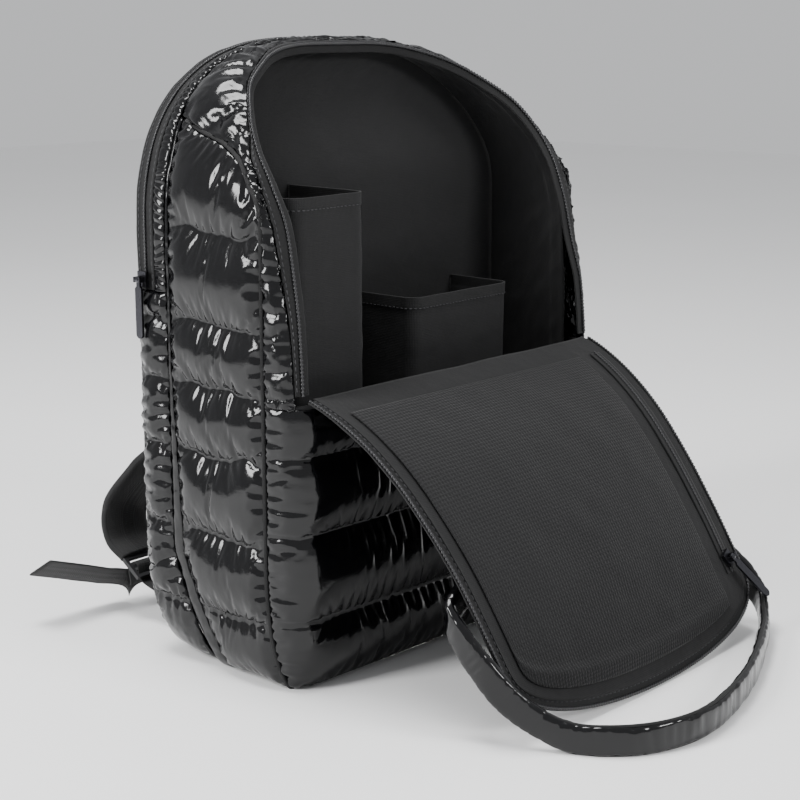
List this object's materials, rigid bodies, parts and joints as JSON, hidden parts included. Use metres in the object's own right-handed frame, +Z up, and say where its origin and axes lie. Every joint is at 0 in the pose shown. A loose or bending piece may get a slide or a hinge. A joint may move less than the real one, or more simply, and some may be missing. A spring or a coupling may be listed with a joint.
{
  "type": "quilted backpack",
  "caption": "Standing puffer backpack with an arched top, its front compartment unzipped and folded down, with inner bottle sleeves, a net pocket, a carry handle and padded shoulder straps.",
  "frame": {"origin": "middle of the flat base, on the floor", "axes": "+Z up, -Y out of the front where the flap is folded down, +X to the right as seen from the front"},
  "size_m": [0.3674, 0.4471, 0.4002],
  "materials": {
    "gloss_shell": "high-gloss coated puffer cloth",
    "lining": "matte woven lining",
    "net": "matte knitted net",
    "zip_tape": "matte woven zip tape with nylon coil",
    "webbing": "ribbed woven webbing",
    "buckle_plastic": "moulded acetal, satin",
    "zip_metal": "gunmetal plated zinc casting"
  },
  "bodies": {
    "bag": {"side_panel_left": "gloss_shell", "side_panel_right": "gloss_shell", "rear_strip_left": "gloss_shell", "rear_strip_right": "gloss_shell", "seam_gusset_left": "gloss_shell", "seam_gusset_right": "gloss_shell", "ruched_strip": "gloss_shell", "main_zip": "zip_tape", "front_border": "gloss_shell", "opening_zip_tape": "zip_tape", "front_panel": "gloss_shell", "base_panel": "gloss_shell", "back_panel": "lining", "divider": "lining", "lining_hood": "lining", "bottle_sleeve_left": "lining", "bottle_sleeve_right": "lining", "flap_puffer": "gloss_shell", "flap_lining": "lining", "flap_zip_tape": "zip_tape", "mesh_pocket": "net", "mesh_pocket_zip": "zip_tape", "carry_handle": "gloss_shell", "shoulder_strap_left": "lining", "shoulder_strap_right": "lining", "strap_webbing_left": "webbing", "strap_webbing_right": "webbing", "strap_buckle_left": "buckle_plastic", "strap_buckle_right": "buckle_plastic", "main_zip_slider": "zip_metal", "pocket_zip_slider": "zip_metal"},
    "main_puller": {"main_zip_puller": "zip_metal"},
    "pocket_puller": {"pocket_zip_puller": "zip_metal"}
  },
  "joints": [
    {"name": "main_puller_hinge", "type": "hinge", "parent": "bag", "child": "main_puller", "pos_m": [-0.16075, 0.061, 0.25], "axis": [0, 1, 0], "range_deg": [0, 170]},
    {"name": "pocket_puller_hinge", "type": "hinge", "parent": "bag", "child": "pocket_puller", "pos_m": [0.12692, -0.20725, 0.05455], "axis": [-0.8829, -0.2027, -0.4234], "range_deg": [0, 170]}
  ]
}
